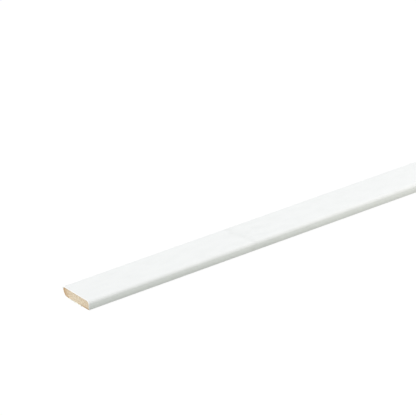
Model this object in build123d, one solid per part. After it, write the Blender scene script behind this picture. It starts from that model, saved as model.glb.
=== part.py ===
"""Self-adhesive skirting board: a slim MDF moulding wrapped in white foil, with a taped back.

The board lies on its back, face up. X runs along its length, Y across its width and Z through its
thickness. The rounded edge, which is the top edge on the wall, looks towards -Y. The undercut edge,
whose tip meets the floor when the board is on the wall, looks towards +Y. The origin is at the middle
of the length and of the width, on the surface that the board lies on.

All sizes are in millimetres, and angles are in degrees.
"""

import os
from math import cos, radians, sin, tan

from build123d import *

# Driving dimensions of the board
LENGTH = 2400.0
WIDTH = 24.0  # over the foil on both edges
MOULDING_THICKNESS = 5.0  # bare MDF, from its back to its face
ROUND_RADIUS = 2.0  # bare MDF, on the rounded edge
UNDERCUT_ANGLE = 22.0  # of the undercut edge, from square to the face
TIP_RADIUS = 0.5  # bare MDF, where the undercut meets the face
HEEL_RADIUS = 3.5  # bare MDF, where the undercut meets the back
FOIL_THICKNESS = 0.15

# Driving dimensions of the self-adhesive strip on the back
TAPE_WIDTH = 12.0
TAPE_THICKNESS = 0.5
TAPE_MARGIN = 0.5  # flat bare back between the rounded heel and the tape
LINER_THICKNESS = 0.1

# Levels, from the surface that the board lies on
TAPE_LEVEL = LINER_THICKNESS
BACK_LEVEL = TAPE_LEVEL + TAPE_THICKNESS
FACE_LEVEL = BACK_LEVEL + MOULDING_THICKNESS

# Places across the width
UNDERCUT = radians(UNDERCUT_ANGLE)
ROUND_EDGE = FOIL_THICKNESS - WIDTH / 2
TIP_CENTRE = WIDTH / 2 - FOIL_THICKNESS - TIP_RADIUS
TIP_CORNER = TIP_CENTRE + TIP_RADIUS * (1 + sin(UNDERCUT)) / cos(UNDERCUT)
HEEL_CORNER = TIP_CORNER - MOULDING_THICKNESS * tan(UNDERCUT)
HEEL_SETBACK = HEEL_RADIUS / tan((radians(90) + UNDERCUT) / 2)  # from the corner to its rounding's ends
TAPE_CENTRE = HEEL_CORNER - HEEL_SETBACK - TAPE_MARGIN - TAPE_WIDTH / 2

# Corners of the bare moulding's section, as (across, up), before they are rounded
ROUND_FOOT = (ROUND_EDGE, BACK_LEVEL)
ROUND_CORNER = (ROUND_EDGE, FACE_LEVEL)
TIP = (TIP_CORNER, FACE_LEVEL)
HEEL = (HEEL_CORNER, BACK_LEVEL)


def full_length(section):
    """Extrude a section, drawn across the board, over the board's whole length."""
    return extrude(Plane.YZ * section, amount=LENGTH / 2, both=True)


def mdf_moulding():
    """The bare moulding: flat back and face, one rounded edge and one undercut edge."""
    radii = [0, ROUND_RADIUS, TIP_RADIUS, HEEL_RADIUS]
    outline = FilletPolyline(ROUND_FOOT, ROUND_CORNER, TIP, HEEL, radius=radii, close=True)
    return full_length(make_face(outline))


def foil_wrap():
    """The decor foil: up the rounded edge, over the face, round the tip and down the undercut.

    It stops flush with the back on the rounded edge, and where the heel's rounding begins on the undercut.
    """
    foil_end = (
        HEEL_CORNER + HEEL_SETBACK * sin(UNDERCUT),
        BACK_LEVEL + HEEL_SETBACK * cos(UNDERCUT),
    )
    wrapped = FilletPolyline(ROUND_FOOT, ROUND_CORNER, TIP, foil_end, radius=[ROUND_RADIUS, TIP_RADIUS])
    return full_length(make_face(offset(wrapped, FOIL_THICKNESS, side=Side.LEFT)))


def back_strip(level, thickness):
    """A flat strip of the tape's width under the back, with its lower face at the given level."""
    section = Pos(TAPE_CENTRE, level + thickness / 2) * Rectangle(TAPE_WIDTH, thickness)
    return full_length(section)


PIECES = {
    "mdf_moulding": mdf_moulding(),
    "foil_wrap": foil_wrap(),
    "adhesive_tape": back_strip(TAPE_LEVEL, TAPE_THICKNESS),
    "release_liner": back_strip(0.0, LINER_THICKNESS),
}

os.makedirs("parts", exist_ok=True)
for node, piece in PIECES.items():
    export_step(piece, f"parts/{node}.step")
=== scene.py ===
"""Dresses the self-adhesive skirting board: sawn fibreboard, white decor foil, foam tape and its liner.

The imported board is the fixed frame. Each piece runs over the board's whole length, so it is drawn as a
section across the board, rounded at its corners, extruded and laid out on a texture map, and its ends are
worked afterwards. X runs along the board, Y across it towards the undercut edge, and Z out of the white
face. The classes hold sizes in metres and angles in degrees, unless a name says otherwise.
"""

import logging
import math
from dataclasses import dataclass
from enum import Enum
from typing import Any, Callable, Optional, Union

import bmesh
import bpy
from bmesh.types import BMFace, BMLayerItem, BMVert
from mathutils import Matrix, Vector, noise


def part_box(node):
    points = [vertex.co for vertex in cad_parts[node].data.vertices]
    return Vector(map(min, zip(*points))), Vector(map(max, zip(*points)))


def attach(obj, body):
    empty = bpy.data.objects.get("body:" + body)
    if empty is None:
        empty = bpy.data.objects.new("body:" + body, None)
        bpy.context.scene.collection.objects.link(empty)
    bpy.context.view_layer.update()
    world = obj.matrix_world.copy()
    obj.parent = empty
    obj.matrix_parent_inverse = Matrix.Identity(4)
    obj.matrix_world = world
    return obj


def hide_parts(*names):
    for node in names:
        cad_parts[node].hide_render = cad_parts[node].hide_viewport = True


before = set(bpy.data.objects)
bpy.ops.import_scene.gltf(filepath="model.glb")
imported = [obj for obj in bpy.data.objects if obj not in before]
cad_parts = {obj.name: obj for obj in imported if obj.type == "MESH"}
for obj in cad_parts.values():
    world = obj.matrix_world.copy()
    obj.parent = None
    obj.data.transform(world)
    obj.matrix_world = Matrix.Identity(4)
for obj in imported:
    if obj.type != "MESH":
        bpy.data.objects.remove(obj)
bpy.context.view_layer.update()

MM = 0.001
BODY = "root"
LOG = logging.getLogger("skirting_board")

Colour = tuple[float, float, float, float]
Number = Union["Field", float]
Place = tuple[float, float, float]
Size = tuple[float, float, float]
Span = tuple[float, float]
Stops = tuple[tuple[float, Colour], ...]
Tint = tuple[float, float, float]


class Node(Enum):
    """The board's pieces in the frame."""

    MOULDING = "mdf_moulding"
    FOIL = "foil_wrap"
    TAPE = "adhesive_tape"
    LINER = "release_liner"


class Slot(Enum):
    """The record's material slots."""

    MOULDING = "mdf"
    FOIL = "white_foil"
    TAPE = "foam_tape"
    LINER = "liner_paper"


class Axis(Enum):
    """The frame's axes, by the outputs of a Separate XYZ node."""

    LENGTH = "X"
    WIDTH = "Y"
    HEIGHT = "Z"


def paint(red: int, green: int, blue: int) -> Colour:
    """Turn a colour as seen on a screen into the linear one that a shader takes.

    Args:
        red: Red, from 0 to 255.
        green: Green, from 0 to 255.
        blue: Blue, from 0 to 255.

    Returns:
        The linear colour, with an alpha of 1.
    """

    def linear(step: int) -> float:
        """Undo the screen's curve for one channel."""
        share = step / 255
        return share / 12.92 if share <= 0.04045 else ((share + 0.055) / 1.055) ** 2.4

    return linear(red), linear(green), linear(blue), 1.0


class Field:
    """A number that varies over a surface: a node's output socket, with arithmetic that adds Math nodes."""

    def __init__(self, sketch: "NodeSketch", socket: bpy.types.NodeSocket) -> None:
        """Wrap an output socket of a node in a sketch."""
        self.sketch = sketch
        self.socket = socket

    def _math(self, operation: str, first: Number, second: Number = 0.0) -> "Field":
        """Add a Math node that works on one or two numbers, and take its result."""
        return self.sketch.field("ShaderNodeMath", {"operation": operation}, {0: first, 1: second})

    def __add__(self, other: Number) -> "Field":
        """Add a number or another field."""
        return self._math("ADD", self, other)

    def __radd__(self, other: Number) -> "Field":
        """Add this field to a number."""
        return self._math("ADD", other, self)

    def __sub__(self, other: Number) -> "Field":
        """Take a number or another field away."""
        return self._math("SUBTRACT", self, other)

    def __rsub__(self, other: Number) -> "Field":
        """Take this field away from a number."""
        return self._math("SUBTRACT", other, self)

    def __mul__(self, other: Number) -> "Field":
        """Multiply by a number or another field."""
        return self._math("MULTIPLY", self, other)

    def __rmul__(self, other: Number) -> "Field":
        """Multiply a number by this field."""
        return self._math("MULTIPLY", other, self)

    def __abs__(self) -> "Field":
        """Drop the sign."""
        return self._math("ABSOLUTE", self)

    def __or__(self, other: Number) -> "Field":
        """Keep the larger of two numbers, as masks are joined."""
        return self._math("MAXIMUM", self, other)

    def __ror__(self, other: Number) -> "Field":
        """Keep the larger of a number and this field."""
        return self._math("MAXIMUM", other, self)


class NodeSketch:
    """A node tree, a material's or the world's, and the ways to add nodes to it."""

    def __init__(self, tree: bpy.types.NodeTree) -> None:
        """Draw in a tree."""
        self.tree = tree

    def node(
        self,
        kind: str,
        settings: Optional[dict[str, Any]] = None,
        inputs: Optional[dict[Union[int, str], Any]] = None,
    ) -> bpy.types.Node:
        """Add a node.

        Args:
            kind: The node's type.
            settings: The node's own settings, set before its sockets. A ramp's are its stops.
            inputs: A value, socket or field for each named or numbered input socket.

        Returns:
            The new node.
        """
        made = self.tree.nodes.new(kind)
        for name, value in (settings or {}).items():
            if name == "stops":
                self._set_stops(made.color_ramp.elements, value)
            else:
                setattr(made, name, value)
        for key, value in (inputs or {}).items():
            self.feed(made.inputs[key], value)
        return made

    @staticmethod
    def _set_stops(elements: bpy.types.ColorRampElements, stops: Stops) -> None:
        """Give a ramp its stops.

        Args:
            elements: The ramp's elements, of which a new ramp has two.
            stops: The place and colour of each stop, in order.
        """
        while len(elements) < len(stops):
            elements.new(1.0)
        for element, (place, colour) in zip(elements, stops):
            element.position = place
            element.color = colour

    def feed(self, socket: bpy.types.NodeSocket, value: Any) -> None:
        """Link or set an input socket.

        Args:
            socket: The input socket.
            value: A field or an output socket to link, or a plain value to set.
        """
        source = value.socket if isinstance(value, Field) else value
        if isinstance(source, bpy.types.NodeSocket):
            self.tree.links.new(source, socket)
        else:
            socket.default_value = source

    def field(
        self,
        kind: str,
        settings: Optional[dict[str, Any]] = None,
        inputs: Optional[dict[Union[int, str], Any]] = None,
        output: Union[int, str] = 0,
    ) -> Field:
        """Add a node, as node() does, and take one of its outputs as a field."""
        return Field(self, self.node(kind, settings, inputs).outputs[output])

    def background_rays(self) -> Field:
        """Mark the rays that show the background: those of the camera, gloss and glass.

        Returns:
            A field that is 1 for such a ray and 0 for any other.
        """
        rays = self.node("ShaderNodeLightPath")
        camera, glossy, through = (
            Field(self, rays.outputs[f"Is {name} Ray"]) for name in ("Camera", "Glossy", "Transmission")
        )
        return camera | glossy | through

    def by_ray(self, lit: bpy.types.Node, seen: bpy.types.Node) -> bpy.types.NodeSocket:
        """Choose by the kind of ray between a shader that lights the board and one that shows behind it."""
        sockets = {0: self.background_rays(), 1: lit.outputs[0], 2: seen.outputs[0]}
        return self.node("ShaderNodeMixShader", None, sockets).outputs[0]


class Finish(NodeSketch):
    """A material around one Principled shader, with patterns placed in the frame."""

    def __init__(self, name: str, gloss: float) -> None:
        """Make the material.

        Args:
            name: The material's name.
            gloss: The strength of its reflections, from 0 to 1.
        """
        self.material = bpy.data.materials.new(name)
        self.material.use_nodes = True
        super().__init__(self.material.node_tree)
        self.shader = self.tree.nodes["Principled BSDF"]
        self.shader.inputs["Specular IOR Level"].default_value = gloss
        self.place = self.node("ShaderNodeTexCoord").outputs["Object"]

    def axis(self, axis: Axis) -> Field:
        """Give the place along one of the frame's axes, in metres."""
        return self.field("ShaderNodeSeparateXYZ", None, {0: self.place}, axis.value)

    def _scaled(self, size: Size) -> bpy.types.NodeSocket:
        """Measure the place in patches of a size, and not in metres."""
        sockets = {0: self.place, 1: tuple(1 / side for side in size)}
        return self.node("ShaderNodeVectorMath", {"operation": "MULTIPLY"}, sockets).outputs[0]

    def distance(self, spot: Vector) -> Field:
        """Measure how far the place is from a line along the board.

        Args:
            spot: Where the line passes through the section, across the board and up.

        Returns:
            The distance.
        """
        sockets = {0: self.place, 1: (0.0, 1.0, 1.0)}
        section = self.node("ShaderNodeVectorMath", {"operation": "MULTIPLY"}, sockets)
        sockets = {0: section.outputs[0], 1: (0.0, *spot)}
        return self.field("ShaderNodeVectorMath", {"operation": "DISTANCE"}, sockets, "Value")

    def cloud(self, size: Size, detail: float = 2.0, rough: float = 0.5) -> Field:
        """Add soft noise in patches of a size, from about 0.2 to 0.8 with a mean of a half."""
        sockets = {"Vector": self._scaled(size), "Scale": 1.0, "Detail": detail, "Roughness": rough}
        return self.field("ShaderNodeTexNoise", None, sockets, "Fac")

    @staticmethod
    def around(middle: float, spread: float, cloud: Field) -> Field:
        """Vary a number about its middle by a cloud, which has a mean of a half."""
        return cloud * spread + (middle - spread / 2)

    def cells(self, size: Size) -> Field:
        """Add round cells of a size, as the distance in cells from the middle of the nearest one."""
        sockets = {"Vector": self._scaled(size), "Scale": 1.0}
        return self.field("ShaderNodeTexVoronoi", None, sockets, "Distance")

    def rise(self, value: Field, start: float, end: float) -> Field:
        """Rise smoothly from 0 where the value is at start to 1 where it is at end."""
        sockets = {"Value": value, "From Min": start, "From Max": end}
        return self.field("ShaderNodeMapRange", {"interpolation_type": "SMOOTHSTEP"}, sockets)

    def fall(self, value: Field, start: float, end: float) -> Field:
        """Fall smoothly from 1 where the value is at start to 0 where it is at end."""
        return 1.0 - self.rise(value, start, end)

    def blend(self, share: Field, under: Any, over: Any) -> bpy.types.NodeSocket:
        """Mix two colours, each a plain one or a socket, by how much of the second shows."""
        # A Mix node has its colours at inputs 6 and 7, and the mixed one at output 2.
        mixed = self.node("ShaderNodeMix", {"data_type": "RGBA"}, {0: share, 6: under, 7: over})
        return mixed.outputs[2]

    def tones(self, share: Field, stops: Stops) -> bpy.types.NodeSocket:
        """Run a field through a ramp of colours."""
        return self.node("ShaderNodeValToRGB", {"stops": stops}, {0: share}).outputs[0]

    def surface(self, colour: Any, roughness: Field, relief: Field, depth: float) -> bpy.types.Material:
        """Feed the shader its colour, roughness and relief.

        Args:
            colour: The base colour's socket.
            roughness: The roughness.
            relief: The height of the surface, from 0 to 1.
            depth: The depth of the relief.

        Returns:
            The finished material.
        """
        bump = self.node("ShaderNodeBump", None, {"Height": relief, "Distance": depth})
        self.feed(self.shader.inputs["Base Color"], colour)
        self.feed(self.shader.inputs["Roughness"], roughness)
        self.feed(self.shader.inputs["Normal"], bump.outputs[0])
        return self.material


@dataclass(frozen=True)
class FoilFinish:
    """White decor foil: satin and faintly clouded, with whitened cuts, painted shade along its foot and a
    faint dark mark.
    """

    white: Colour = paint(249, 251, 251)
    shade: Colour = paint(226, 229, 228)
    bright: Colour = paint(255, 255, 255)
    gloss: float = 0.4
    cloud_size: Size = (10 * MM, 5 * MM, 5 * MM)
    cloud_share: float = 0.36
    grain_size: Size = (1.6 * MM, 0.5 * MM, 0.5 * MM)
    grain_share: float = 0.12
    skin_size: Size = (0.35 * MM, 0.22 * MM, 0.22 * MM)
    skin_depth: float = 0.006 * MM
    roughness: float = 0.42
    roughness_spread: float = 0.12
    cut_width: float = 0.9 * MM
    cut_rise: Span = (0.5 * MM, 3.0 * MM)
    # The foot shade is painted shade: the foil gets darker towards its bottom, where it meets the ground.
    foot_shade_height: float = 2.8 * MM
    foot_shade_share: float = 0.7
    mark_from_end: float = 115.6 * MM
    mark_slant: float = -0.14
    mark_wander: float = 6.0 * MM
    wander_size: Size = (40 * MM, 3.5 * MM, 5 * MM)
    mark_width: float = 3.6 * MM
    mark_share: float = 0.24
    mark_edges: Span = (5 * MM, 10 * MM)
    mark_middle_share: float = 0.4
    mark_patch_length: float = 30 * MM
    mark_patch_size: Size = (6 * MM, 4 * MM, 4 * MM)
    mark_patch_span: Span = (0.42, 0.62)
    mark_patch_share: float = 0.15

    def mark(self, finish: Finish, near_end: float) -> Field:
        """Add the faint dark mark: a slanted line, stronger at the board's edges, and darker patches beyond
        it.

        Args:
            finish: The finish to add it to.
            near_end: The place of the near end along the board.

        Returns:
            How much the mark darkens the foil.
        """
        across = finish.axis(Axis.WIDTH)
        wander = finish.around(0.0, self.mark_wander, finish.cloud(self.wander_size))
        from_end = finish.axis(Axis.LENGTH) - near_end
        past_mark = from_end - across * self.mark_slant + wander - self.mark_from_end
        line = finish.fall(abs(past_mark), 0.0, self.mark_width)
        at_edges = finish.rise(abs(across), *self.mark_edges)
        patches = finish.rise(finish.cloud(self.mark_patch_size, detail=3.0), *self.mark_patch_span)
        strength = (at_edges | patches) * (1.0 - self.mark_middle_share) + self.mark_middle_share
        beyond = finish.rise(past_mark, 0.0, self.mark_width)
        beyond *= finish.fall(past_mark, 0.0, self.mark_patch_length)
        return line * strength * self.mark_share + beyond * patches * self.mark_patch_share

    def material(self, section: "BoardSection") -> bpy.types.Material:
        """Build the foil's material.

        Args:
            section: The board's section, whose ends were sawn.

        Returns:
            The material.
        """
        finish = Finish("white_decor_foil", self.gloss)
        cloud = finish.cloud(self.cloud_size, detail=3.0)
        grain = finish.cloud(self.grain_size)
        up = finish.axis(Axis.HEIGHT) - section.back
        # Painted shade along the foot: the foil darkens over its lowest few millimetres, towards the
        # ground.
        foot = finish.fall(up, 0.0, self.foot_shade_height)
        mark_and_foot_shade = self.mark(finish, section.near_end) + foot * self.foot_shade_share
        share = cloud * self.cloud_share + grain * self.grain_share + mark_and_foot_shade
        clouded = finish.blend(share, self.white, self.shade)
        from_end = section.length / 2 - abs(finish.axis(Axis.LENGTH))
        cut = finish.fall(from_end, 0.0, self.cut_width) * finish.rise(up, *self.cut_rise)
        roughness = finish.around(self.roughness, self.roughness_spread, cloud)
        skin = finish.cloud(self.skin_size)
        return finish.surface(finish.blend(cut, clouded, self.bright), roughness, skin, self.skin_depth)


@dataclass(frozen=True)
class FibreboardFinish:
    """Sawn MDF: matted fibres, browner where they are packed densely, painted shade along the back edge
    beside the tape, and white glue in the foil's tip.
    """

    fibres: Stops = (
        (0.28, paint(194, 167, 133)),
        (0.42, paint(216, 198, 173)),
        (0.58, paint(234, 218, 197)),
        (0.74, paint(248, 236, 219)),
    )
    dense: Stops = (
        (0.3, paint(154, 114, 69)),
        (0.5, paint(178, 138, 90)),
        (0.7, paint(201, 164, 116)),
    )
    warm: Colour = paint(220, 162, 96)
    glue: Colour = paint(238, 240, 238)
    gloss: float = 0.2
    fibre_size: Size = (0.5 * MM, 1.5 * MM, 0.7 * MM)
    fuzz_size: Size = (0.09 * MM, 0.12 * MM, 0.07 * MM)
    fuzz_depth: float = 0.03 * MM
    face_depth: float = 0.6 * MM
    face_share: float = 0.25
    # Painted shade of the gap under the board, along the end's back edge where the tape does not reach.
    gap_shade_depth: float = 1.2 * MM
    back_skin_and_gap_shade_share: float = 0.88
    sanded_depth: float = 0.1 * MM
    gap_shade_blend: float = 1.5 * MM
    side_span: Span = (4 * MM, 9 * MM)
    side_share: float = 0.12
    warm_span: Span = (1 * MM, 8 * MM)
    warm_share: float = 0.1
    rim_depth: float = 4.2 * MM
    rim_span: Span = (6 * MM, 9 * MM)
    rim_share: float = 0.5
    tip_depth: float = 3.0 * MM
    tip_share: float = 0.35
    glue_span: Span = (0.9 * MM, 1.5 * MM)
    glue_ragged: float = 1.2 * MM
    glue_share: float = 0.85
    roughness: float = 0.86
    roughness_spread: float = 0.1

    def dense_fibre_and_gap_shade(self, finish: Finish, section: "BoardSection") -> Field:
        """Find where the fibres are packed densely, towards both sides and at the face, and where painted
        shade of the gap under the board darkens the end's back edge beside the tape.

        Args:
            finish: The finish to add it to.
            section: The board's section.

        Returns:
            How much of the dense fibre and the painted shade shows.
        """
        across, up = finish.axis(Axis.WIDTH), finish.axis(Axis.HEIGHT)
        undercut = section.tip_corner - (section.face - up) * math.tan(section.slope)
        under_foil = (undercut - across) * math.cos(section.slope)
        in_heel = section.heel_radius - finish.distance(section.heel_centre)
        below = finish.fall(up, section.back, section.face)
        from_rim = under_foil + (in_heel - under_foil) * below
        rim = finish.fall(from_rim, 0.0, self.rim_depth) * finish.rise(across, *self.rim_span)
        tip = finish.fall(finish.distance(section.tip), 0.0, self.tip_depth)
        face = finish.rise(up, section.face - self.face_depth, section.face)
        # Painted shade: the band along the back is darkened only beside the tape, where the tape leaves a
        # gap under the board.
        back = finish.fall(up, section.back, section.back + self.gap_shade_depth)
        bare = finish.fall(across, section.tape_edge - self.gap_shade_blend, section.tape_edge)
        sanded = finish.fall(up, section.back, section.back + self.sanded_depth)
        sides = finish.rise(abs(across), *self.side_span) * self.side_share
        edges = rim * self.rim_share + tip * self.tip_share + sides
        # The back term is painted shade of the gap; the sanded term is the real sanded skin.
        return edges + face * self.face_share + (back * bare | sanded) * self.back_skin_and_gap_shade_share

    def material(self, section: "BoardSection") -> bpy.types.Material:
        """Build the fibreboard's material.

        Args:
            section: The board's section, which the dense edges follow.

        Returns:
            The material.
        """
        finish = Finish("sawn_fibreboard", self.gloss)
        fibre = finish.cloud(self.fibre_size, detail=4.0, rough=0.6)
        loose, packed = finish.tones(fibre, self.fibres), finish.tones(fibre, self.dense)
        matted = finish.blend(self.dense_fibre_and_gap_shade(finish, section), loose, packed)
        warmth = finish.rise(finish.axis(Axis.WIDTH), *self.warm_span) * self.warm_share
        wood = finish.blend(warmth, matted, self.warm)
        from_tip = finish.distance(section.tip) + finish.around(0.0, self.glue_ragged, fibre)
        glue = finish.fall(from_tip, *self.glue_span) * self.glue_share
        roughness = finish.around(self.roughness, self.roughness_spread, fibre)
        fuzz = finish.cloud(self.fuzz_size, rough=0.7)
        return finish.surface(finish.blend(glue, wood, self.glue), roughness, fuzz, self.fuzz_depth)


@dataclass(frozen=True)
class FoamFinish:
    """White foam tape: fine closed cells cut open by the knife, with painted shade in the open cells."""

    foam: Colour = paint(252, 252, 250)
    painted_cell_shade: Colour = paint(232, 232, 227)
    gloss: float = 0.3
    cell_size: Size = (0.16 * MM, 0.16 * MM, 0.12 * MM)
    cell_wall: Span = (0.1, 0.55)
    cell_depth: float = 0.05 * MM
    cloud_size: Size = (3 * MM, 3 * MM, 1 * MM)
    roughness: float = 0.7
    roughness_spread: float = 0.15

    def material(self) -> bpy.types.Material:
        """Build the foam's material.

        Returns:
            The material.
        """
        finish = Finish("white_foam_tape", self.gloss)
        cell = finish.cells(self.cell_size)
        # Painted shade: each open cell is darker towards its middle, where it is deepest.
        colour = finish.blend(finish.fall(cell, *self.cell_wall), self.foam, self.painted_cell_shade)
        cloud = finish.cloud(self.cloud_size)
        roughness = finish.around(self.roughness, self.roughness_spread, cloud)
        return finish.surface(colour, roughness, cell, self.cell_depth)


@dataclass(frozen=True)
class LinerFinish:
    """Coated release paper: pale, smooth and slightly shiny, with fine paper fibre under the coat."""

    paper: Colour = paint(250, 249, 243)
    fibre: Colour = paint(234, 231, 220)
    gloss: float = 0.5
    fibre_size: Size = (2.2 * MM, 0.5 * MM, 0.5 * MM)
    fibre_span: Span = (0.45, 0.8)
    fibre_share: float = 0.6
    cloud_size: Size = (9 * MM, 6 * MM, 6 * MM)
    cloud_share: float = 0.3
    relief_depth: float = 0.008 * MM
    roughness: float = 0.34
    roughness_spread: float = 0.12

    def material(self) -> bpy.types.Material:
        """Build the liner's material.

        Returns:
            The material.
        """
        finish = Finish("coated_release_paper", self.gloss)
        fibre = finish.cloud(self.fibre_size, detail=3.0)
        cloud = finish.cloud(self.cloud_size)
        share = finish.rise(fibre, *self.fibre_span) * self.fibre_share + cloud * self.cloud_share
        roughness = finish.around(self.roughness, self.roughness_spread, cloud)
        colour = finish.blend(share, self.paper, self.fibre)
        return finish.surface(colour, roughness, fibre, self.relief_depth)


@dataclass(frozen=True)
class Corner:
    """A corner of a section's outline, and how it is rounded."""

    across: float
    up: float
    radius: float = 0.0
    steps: int = 12

    @property
    def spot(self) -> Vector:
        """The corner's place across the board and up."""
        return Vector((self.across, self.up))


@dataclass(frozen=True)
class BoardSection:
    """The board's section: the sizes that the frame gives, and the roundings and angle of its edges."""

    length: float
    round_edge: float
    tip_edge: float
    back: float
    face: float
    foil: float
    tape_edge: float  # the one towards the rounded edge
    round_radius: float = 2.0 * MM
    tip_radius: float = 0.5 * MM
    heel_radius: float = 3.5 * MM
    undercut_angle: float = 22.0
    broad_steps: int = 20

    @classmethod
    def from_frame(cls) -> "BoardSection":
        """Read the section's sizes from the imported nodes.

        Returns:
            The section.
        """
        low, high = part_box(Node.MOULDING.value)
        return cls(
            length=high.x - low.x,
            round_edge=low.y,
            tip_edge=high.y,
            back=low.z,
            face=high.z,
            foil=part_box(Node.FOIL.value)[1].z - high.z,
            tape_edge=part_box(Node.TAPE.value)[0].y,
        )

    @property
    def near_end(self) -> float:
        """The place of the near end along the board."""
        return -self.length / 2

    @property
    def front_foot(self) -> Vector:
        """The lowest corner of the foil at the near end, on the rounded edge."""
        return Vector((self.near_end, self.round_edge - self.foil, self.back))

    @property
    def slope(self) -> float:
        """The undercut's angle, in radians."""
        return math.radians(self.undercut_angle)

    @property
    def tip(self) -> Vector:
        """The sharp corner between the face and the undercut, across the board and up."""
        return Vector((self.tip_corner, self.face))

    @property
    def heel_setback(self) -> float:
        """How far from the heel's sharp corner its rounding begins and ends."""
        return self.heel_radius / math.tan((math.pi / 2 + self.slope) / 2)

    @property
    def heel_centre(self) -> Vector:
        """The centre of the heel's rounding, across the board and up."""
        return Vector((self.heel_corner - self.heel_setback, self.back + self.heel_radius))

    @property
    def tip_corner(self) -> float:
        """Where the face and the undercut would meet if the tip were sharp."""
        return self.tip_edge - self.tip_radius + self._tip_reach(self.tip_radius)

    @property
    def heel_corner(self) -> float:
        """Where the undercut and the back would meet if the heel were sharp."""
        return self.tip_corner - (self.face - self.back) * math.tan(self.slope)

    @property
    def foil_end(self) -> Vector:
        """The foil's inner corner on the undercut, where the rounding of the heel begins."""
        along = Vector((math.sin(self.slope), math.cos(self.slope)))
        return Vector((self.heel_corner, self.back)) + along * self.heel_setback

    def _tip_reach(self, depth: float) -> float:
        """How far the tip's sharp corner lies beyond a point this deep below the face and the undercut."""
        return depth * (1 + math.sin(self.slope)) / math.cos(self.slope)

    def moulding(self) -> list[Corner]:
        """Outline the bare moulding.

        Returns:
            The outline's corners, in order.
        """
        return [
            Corner(self.round_edge, self.back),
            Corner(self.round_edge, self.face, self.round_radius, self.broad_steps),
            Corner(self.tip_corner, self.face, self.tip_radius),
            Corner(self.heel_corner, self.back, self.heel_radius, self.broad_steps),
        ]

    def wrap(self) -> list[Corner]:
        """Outline the foil, out along its outer side and back along the moulding.

        Returns:
            The outline's corners, in order.
        """
        outer_end = self.foil_end + Vector((math.cos(self.slope), -math.sin(self.slope))) * self.foil
        outer_tip = self.tip_corner + self._tip_reach(self.foil)
        outer_face = self.face + self.foil
        outer_edge = self.round_edge - self.foil
        return [
            Corner(outer_edge, self.back),
            Corner(outer_edge, outer_face, self.round_radius + self.foil, self.broad_steps),
            Corner(outer_tip, outer_face, self.tip_radius + self.foil),
            Corner(*outer_end),
            Corner(*self.foil_end),
            Corner(self.tip_corner, self.face, self.tip_radius),
            Corner(self.round_edge, self.face, self.round_radius, self.broad_steps),
            Corner(self.round_edge, self.back),
        ]


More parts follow.
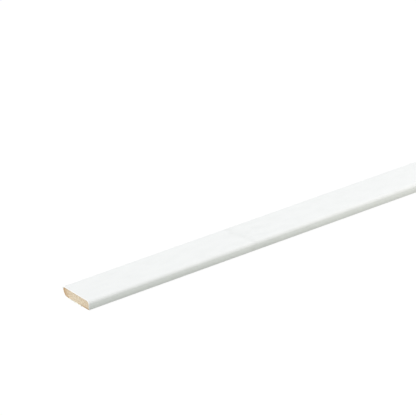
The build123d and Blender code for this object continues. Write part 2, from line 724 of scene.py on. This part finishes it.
class Workpiece:
    """A piece of stock under work: one section over the board's length, in a bmesh."""

    SMOOTH_ANGLE = 30.0
    TOUCH = 1e-6
    MAP_NAME = "OFBake"  # the name of the piece's texture map; the export bakes the finish through a map of this name
    MAP_MARGIN = 0.004  # as a share of the map's width

    def __init__(self, corners: list[Corner], near_end: float, length: float) -> None:
        """Draw the section and extrude it.

        Args:
            corners: The section's corners, in order round the outline.
            near_end: The place of the near end along the board.
            length: The piece's length.
        """
        self.mesh = bmesh.new()
        self.near_end = near_end
        self.far_end = near_end + length
        following = corners[1:] + corners[:1]
        rounds = [self._round(corners[i - 1], corners[i], after) for i, after in enumerate(following)]
        for (_, last), (first, _) in zip(rounds, rounds[1:] + rounds[:1]):
            self.mesh.edges.new((last, first))
        outline = self.mesh.edges[:]
        section = bmesh.ops.contextual_create(self.mesh, geom=outline)["faces"]
        # This takes the near face away, but makes the sides in the same order in each run.
        (far_face,) = bmesh.ops.extrude_discrete_faces(self.mesh, faces=section)["faces"]
        bmesh.ops.translate(self.mesh, verts=far_face.verts[:], vec=(length, 0.0, 0.0))
        bmesh.ops.contextual_create(self.mesh, geom=outline)
        bmesh.ops.recalc_face_normals(self.mesh, faces=self.mesh.faces[:])

    def _round(self, before: Corner, corner: Corner, after: Corner) -> tuple[BMVert, BMVert]:
        """Draw one corner of the section, as a point or as an arc that touches both its sides.

        Args:
            before: The corner before it.
            corner: The corner.
            after: The corner after it.

        Returns:
            The first and last vertices of what was drawn.
        """
        coming = (corner.spot - before.spot).normalized()
        going = (after.spot - corner.spot).normalized()
        turn = coming.angle_signed(going)
        start = corner.spot - coming * corner.radius * math.tan(abs(turn) / 2)
        first = self.mesh.verts.new((self.near_end, *start))
        if not corner.radius:
            return first, first
        side = math.copysign(corner.radius, -turn)
        centre = start + Vector((-coming.y, coming.x)) * side
        drawn = bmesh.ops.spin(
            self.mesh,
            geom=[first],
            cent=(self.near_end, *centre),
            axis=(1.0, 0.0, 0.0),
            angle=-turn,
            steps=corner.steps,
        )
        return first, drawn["geom_last"][0]

    def cut(self, faces: list[BMFace], place: Vector, normal: Vector) -> None:
        """Cut faces along a plane, and keep both sides.

        Args:
            faces: The faces to cut.
            place: A point on the plane.
            normal: The plane's normal.
        """
        # Unlike a set, a dict keeps its order, so each run cuts alike.
        edges = dict.fromkeys(edge for face in faces for edge in face.edges)
        verts = dict.fromkeys(vert for face in faces for vert in face.verts)
        geometry = [*verts, *edges, *faces]
        bmesh.ops.bisect_plane(self.mesh, geom=geometry, dist=self.TOUCH, plane_co=place, plane_no=normal)

    def end_faces(self, end: float) -> list[BMFace]:
        """Find the faces that lie wholly in one sawn end, given by its place along the board."""
        return [f for f in self.mesh.faces if all(abs(v.co.x - end) < self.TOUCH for v in f.verts)]

    def cut_through(self, place: float) -> None:
        """Cut the long faces square through at a place along the board."""
        self.cut(self.mesh.faces[:], Vector((place, 0.0, 0.0)), Vector((1.0, 0.0, 0.0)))

    def _unroll_sides(self, layer: BMLayerItem) -> None:
        """Spread the uncut sides over the whole map: the length across it, and the way round up it.

        Args:
            layer: The map.
        """
        outline = self.end_faces(self.near_end)[0]
        girth = sum(edge.calc_length() for edge in outline.edges)
        # The seam is at the lowest corner on the rounded edge's side.
        loop = min(outline.loops, key=lambda seam: seam.vert.co.y + seam.vert.co.z)
        before = 0.0
        for _ in range(len(outline.loops)):
            after = before + loop.edge.calc_length() / girth
            # The side's own loops run back along the shared edge, and then away to the far end.
            beside = loop.link_loop_radial_next
            for spot in ((0.0, after), (0.0, before), (1.0, before), (1.0, after)):
                beside[layer].uv = spot
                beside = beside.link_loop_next
            loop, before = loop.link_loop_next, after

    def _map_ends(self, layer: BMLayerItem) -> float:
        """Lay both ends beside each other along the foot of the map, each as seen from outside.

        Args:
            layer: The map.

        Returns:
            How far up the map they reach.
        """
        across = [vert.co.y for vert in self.mesh.verts]
        up = [vert.co.z for vert in self.mesh.verts]
        middle = (min(across) + max(across)) / 2
        scale = (0.5 - 2 * self.MAP_MARGIN) / (max(across) - min(across))
        for end, side in ((self.near_end, -1.0), (self.far_end, 1.0)):
            for loop in self.end_faces(end)[0].loops:
                from_middle = (loop.vert.co.y - middle) * scale
                from_foot = (loop.vert.co.z - min(up)) * scale
                loop[layer].uv = (0.5 + side * (0.25 + from_middle), self.MAP_MARGIN + from_foot)
        return (max(up) - min(up)) * scale + 2 * self.MAP_MARGIN

    def _inset(self, share: float, start: float, reach: float) -> float:
        """Place a share of a stretch of the map, clear of both its ends by the margin."""
        return start + self.MAP_MARGIN + share * (reach - 2 * self.MAP_MARGIN)

    def lay_out(self, rows: int) -> None:
        """Give the piece its texture map: the sides unrolled in rows, like lines of text, above the ends.

        Args:
            rows: How many rows there are. The sides are cut through where each one ends.
        """
        layer = self.mesh.loops.layers.uv.new(self.MAP_NAME)
        self._unroll_sides(layer)
        foot = self._map_ends(layer)
        stride = (self.far_end - self.near_end) / rows
        for row in range(1, rows):
            self.cut_through(self.near_end + row * stride)
        ends = self.end_faces(self.near_end) + self.end_faces(self.far_end)
        height = (1.0 - foot) / rows
        for face in [side for side in self.mesh.faces if side not in ends]:
            row = int((face.calc_center_median().x - self.near_end) / stride)
            for loop in face.loops:
                along, way_round = loop[layer].uv
                across_map = self._inset(along * rows - row, 0.0, 1.0)
                loop[layer].uv = (across_map, self._inset(way_round, foot + row * height, height))

    def grid_ends(self, ring: float, cell: Span) -> None:
        """Cut both ends into small cells, with a short ring of faces behind each.

        Args:
            ring: How far behind each end the long faces are cut through.
            cell: The size of a cell across the board and up.
        """
        for end, inward in ((self.near_end, 1.0), (self.far_end, -1.0)):
            self.cut_through(end + inward * ring)
            for normal, step in ((Vector((0.0, 0.0, 1.0)), cell[1]), (Vector((0.0, 1.0, 0.0)), cell[0])):
                places = [v.co.dot(normal) for v in self.mesh.verts]
                for index in range(1, math.ceil((max(places) - min(places)) / step)):
                    self.cut(self.end_faces(end), normal * (min(places) + index * step), normal)

    def press_ends(self, depth: Callable[[Vector], float]) -> None:
        """Press the ends in by a depth that varies over them.

        Args:
            depth: Gives the depth at a spot of an end.
        """
        for end, inward in ((self.near_end, 1.0), (self.far_end, -1.0)):
            for vertex in [v for v in self.mesh.verts if abs(v.co.x - end) < self.TOUCH]:
                vertex.co.x += inward * depth(vertex.co)

    def sway(self, cuts: int, drift: Callable[[float], float]) -> None:
        """Divide the piece along its length, and let it wander a little from side to side.

        Args:
            cuts: How many times each long edge is cut.
            drift: Gives the shift across the board at a place along it.
        """
        runs = [e for e in self.mesh.edges if abs(e.verts[0].co.x - e.verts[1].co.x) > self.TOUCH]
        bmesh.ops.subdivide_edges(self.mesh, edges=runs, cuts=cuts, use_grid_fill=True)
        for vertex in self.mesh.verts:
            vertex.co.y += drift(vertex.co.x)

    def piece(self, name: str, node: Node, slot: Slot, material: bpy.types.Material) -> bpy.types.Object:
        """Finish the mesh as a piece of the board, in place of its node.

        Args:
            name: The piece's name.
            node: The node that it replaces.
            slot: The record's material slot, which is not used.
            material: The piece's material.

        Returns:
            The piece.
        """
        mesh = bpy.data.meshes.new(name)
        self.mesh.to_mesh(mesh)
        self.mesh.free()
        mesh.polygons.foreach_set("use_smooth", [True] * len(mesh.polygons))
        mesh.set_sharp_from_angle(angle=math.radians(self.SMOOTH_ANGLE))
        mesh.materials.append(material)
        made = bpy.data.objects.new(name, mesh)
        bpy.context.scene.collection.objects.link(made)
        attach(made, BODY)
        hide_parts(node.value)
        return made


@dataclass
class SawnMoulding:
    """The MDF moulding, with the marks of a circular saw on its ends."""

    section: BoardSection
    map_rows: int = 6
    ring: float = 4.0 * MM
    cell: Span = (0.15 * MM, 0.5 * MM)
    blade_radius: float = 125.0 * MM
    blade_height: float = 60.0 * MM
    tooth_feed: float = 0.9 * MM
    mark_depth: float = 0.025 * MM
    fibre_depth: float = 0.02 * MM
    fibre_size: float = 0.35 * MM

    def saw_mark(self, place: Vector) -> float:
        """Work out how deep the saw and the torn fibres leave a spot of an end.

        Args:
            place: The spot.

        Returns:
            The depth.
        """
        sweep = math.sqrt(self.blade_radius**2 - (self.blade_height - place.z) ** 2)
        swing = math.sin(2 * math.pi * (place.y + sweep) / self.tooth_feed)
        torn = noise.noise(place / self.fibre_size)
        return self.mark_depth * (0.5 + 0.5 * swing) + self.fibre_depth * (0.5 + 0.5 * torn)

    def build(self) -> bpy.types.Object:
        """Make the moulding and saw its ends.

        Returns:
            The piece.
        """
        work = Workpiece(self.section.moulding(), self.section.near_end, self.section.length)
        work.lay_out(self.map_rows)
        work.grid_ends(self.ring, self.cell)
        work.press_ends(self.saw_mark)
        material = FibreboardFinish().material(self.section)
        return work.piece("sawn_moulding", Node.MOULDING, Slot.MOULDING, material)


@dataclass
class DecorFoil:
    """The white foil round the moulding, with a slightly frayed edge where it was sawn."""

    section: BoardSection
    map_rows: int = 6
    ring: float = 4.0 * MM
    cell: Span = (0.2 * MM, 0.2 * MM)
    chip_size: float = 0.8 * MM
    chip_depth: float = 0.12 * MM
    chip_start: float = 0.05

    def chip(self, place: Vector) -> float:
        """Work out how far the saw chipped the foil's edge at a spot, which over most of it is nothing."""
        return self.chip_depth * max(0.0, noise.noise(place / self.chip_size) - self.chip_start)

    def build(self) -> bpy.types.Object:
        """Make the foil and fray its cut edges.

        Returns:
            The piece.
        """
        work = Workpiece(self.section.wrap(), self.section.near_end, self.section.length)
        work.lay_out(self.map_rows)
        work.grid_ends(self.ring, self.cell)
        work.press_ends(self.chip)
        return work.piece("decor_foil", Node.FOIL, Slot.FOIL, FoilFinish().material(self.section))


@dataclass
class BackStrip:
    """A flat strip along the back, laid by machine: the foam tape, or the liner that covers it."""

    name: str
    node: Node
    slot: Slot
    edge_radius: float
    edge_steps: int = 4
    map_rows: int = 10
    row_cuts: int = 23
    drift_reach: float = 0.12 * MM
    drift_length: float = 160.0 * MM

    def drift(self, along: float) -> float:
        """Work out how far the strip wanders across the board at a place along it."""
        return self.drift_reach * noise.noise(Vector((along / self.drift_length, 0.0, 0.0)))

    def build(self, material: bpy.types.Material) -> bpy.types.Object:
        """Make the strip where its node is.

        Args:
            material: The strip's material.

        Returns:
            The piece.
        """
        low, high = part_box(self.node.value)
        spots = ((low.y, low.z), (low.y, high.z), (high.y, high.z), (high.y, low.z))
        corners = [Corner(across, up, self.edge_radius, self.edge_steps) for across, up in spots]
        work = Workpiece(corners, low.x, high.x - low.x)
        work.lay_out(self.map_rows)
        work.sway(self.row_cuts, self.drift)
        return work.piece(self.name, self.node, self.slot, material)


@dataclass(frozen=True)
class PhotoView:
    """The camera: far off behind a long lens, with the board's near front foot at its pixel."""

    image_pixels: float = 416.0
    sensor_mm: float = 36.0
    lens_mm: float = 300.0
    azimuth: float = -38.51
    elevation: float = 25.96
    distance: float = 1.890
    foot_pixel: Span = (88.94, 310.31)
    reach: float = 200.0

    def set_up(self, foot: Vector) -> None:
        """Put the scene's camera in place.

        Args:
            foot: The lowest corner of the board's near end, on the rounded edge.
        """
        turn = math.radians(self.azimuth)
        tilt = math.radians(self.elevation)
        right = Vector((math.cos(turn), math.sin(turn), 0.0))
        back = Vector((math.sin(turn) * math.cos(tilt), -math.cos(turn) * math.cos(tilt), math.sin(tilt)))
        up = back.cross(right)
        pixel = self.distance * self.sensor_mm / (self.lens_mm * self.image_pixels)
        across = (self.foot_pixel[0] - self.image_pixels / 2) * pixel
        above = (self.image_pixels / 2 - self.foot_pixel[1]) * pixel
        data = bpy.data.cameras.new("photo_view")
        data.lens = self.lens_mm
        data.sensor_width = self.sensor_mm
        data.clip_end = self.reach
        camera = bpy.data.objects.new("photo_view", data)
        bpy.context.scene.collection.objects.link(camera)
        camera.location = foot + back * self.distance - right * across - up * above
        camera.rotation_mode = "QUATERNION"
        camera.rotation_quaternion = (-back).to_track_quat("-Z", "Y")
        bpy.context.scene.camera = camera


@dataclass(frozen=True)
class Studio:
    """A soft sky, a soft key light off the near end, a low fill light in front, and a white ground.

    A level surface is lit by about 1, and the rounded edge gets lighter away from the near end.
    """

    white: Colour = (1.0, 1.0, 1.0, 1.0)
    sky_level: float = 0.45
    key_from: Place = (-0.765, -0.03, 0.762)
    key_level: float = 0.52
    key_softness: float = 60.0
    fill_at: Place = (-0.75, -0.35, 0.085)
    fill_aim: Place = (-0.95, 0.0, 0.0)
    fill_tint: Tint = (1.0, 0.9, 0.8)
    fill_size: float = 0.2
    fill_power: float = 0.43
    ground_reach: float = 80.0
    ground_pale: Colour = (0.445, 0.488, 0.435, 1.0)
    ground_level: float = 1.02
    shadow_share: float = 0.06

    def sky(self) -> None:
        """Light the board evenly, and show white behind it."""
        world = bpy.data.worlds.new("soft_sky")
        world.use_nodes = True
        world.node_tree.nodes.clear()
        sketch = NodeSketch(world.node_tree)
        lit = sketch.node("ShaderNodeBackground", None, {"Color": self.white, "Strength": self.sky_level})
        seen = sketch.node("ShaderNodeBackground", None, {"Color": self.white, "Strength": 1.0})
        sketch.node("ShaderNodeOutputWorld", None, {"Surface": sketch.by_ray(lit, seen)})
        bpy.context.scene.world = world

    def lamp(self, name: str, kind: str, away: Vector, place: Vector) -> bpy.types.Object:
        """Add a lamp that leaves no glare on the foil.

        Args:
            name: The lamp's name.
            kind: Blender's kind of lamp.
            away: The direction from what it lights to the lamp.
            place: Where it stands.

        Returns:
            The lamp's object.
        """
        made = bpy.data.objects.new(name, bpy.data.lights.new(name, kind))
        bpy.context.scene.collection.objects.link(made)
        made.location = place
        made.rotation_mode = "QUATERNION"
        made.rotation_quaternion = away.to_track_quat("Z", "Y")
        made.visible_camera = False
        made.visible_glossy = False
        return made

    def lamps(self) -> None:
        """Add the key light and the fill light."""
        away = Vector(self.key_from).normalized()
        key = self.lamp("key_light", "SUN", away, away)
        key.data.energy = self.key_level * math.pi / away.z
        key.data.angle = math.radians(self.key_softness)
        place = Vector(self.fill_at)
        fill = self.lamp("fill_light", "AREA", place - Vector(self.fill_aim), place)
        fill.data.color = self.fill_tint
        fill.data.energy = self.fill_power
        fill.data.size = self.fill_size

    def ground(self) -> None:
        """Lay the ground: white to the camera apart from a faint shadow, and pale to other rays."""
        material = bpy.data.materials.new("white_ground")
        material.use_nodes = True
        material.node_tree.nodes.clear()
        sketch = NodeSketch(material.node_tree)
        lit = sketch.node("ShaderNodeBsdfDiffuse", None, {"Color": self.ground_pale})
        shaded = (self.shadow_share,) * 3 + (1.0,)
        shadow = sketch.node("ShaderNodeBsdfDiffuse", None, {"Color": shaded})
        glow = sketch.node("ShaderNodeEmission", None, {"Strength": self.ground_level - self.shadow_share})
        seen = sketch.node("ShaderNodeAddShader", None, {0: shadow.outputs[0], 1: glow.outputs[0]})
        sketch.node("ShaderNodeOutputMaterial", None, {"Surface": sketch.by_ray(lit, seen)})
        sheet = bmesh.new()
        bmesh.ops.create_grid(sheet, x_segments=1, y_segments=1, size=self.ground_reach)
        mesh = bpy.data.meshes.new("white_ground")
        sheet.to_mesh(mesh)
        sheet.free()
        mesh.materials.append(material)
        made = bpy.data.objects.new("white_ground", mesh)
        bpy.context.scene.collection.objects.link(made)


def main() -> None:
    """Build the board's pieces, the light and the camera."""
    logging.basicConfig(level=logging.INFO, format="%(name)s: %(message)s")
    section = BoardSection.from_frame()
    tape = BackStrip("foam_strip", Node.TAPE, Slot.TAPE, edge_radius=0.06 * MM)
    liner = BackStrip("paper_liner", Node.LINER, Slot.LINER, edge_radius=0.02 * MM)
    pieces = [
        SawnMoulding(section).build(),
        DecorFoil(section).build(),
        tape.build(FoamFinish().material()),
        liner.build(LinerFinish().material()),
    ]
    for piece in pieces:
        LOG.info("%s: %d faces", piece.name, len(piece.data.polygons))
    studio = Studio()
    studio.sky()
    studio.lamps()
    studio.ground()
    PhotoView().set_up(section.front_foot)
    bpy.context.scene.view_settings.view_transform = "Standard"


if __name__ == "__main__":
    main()
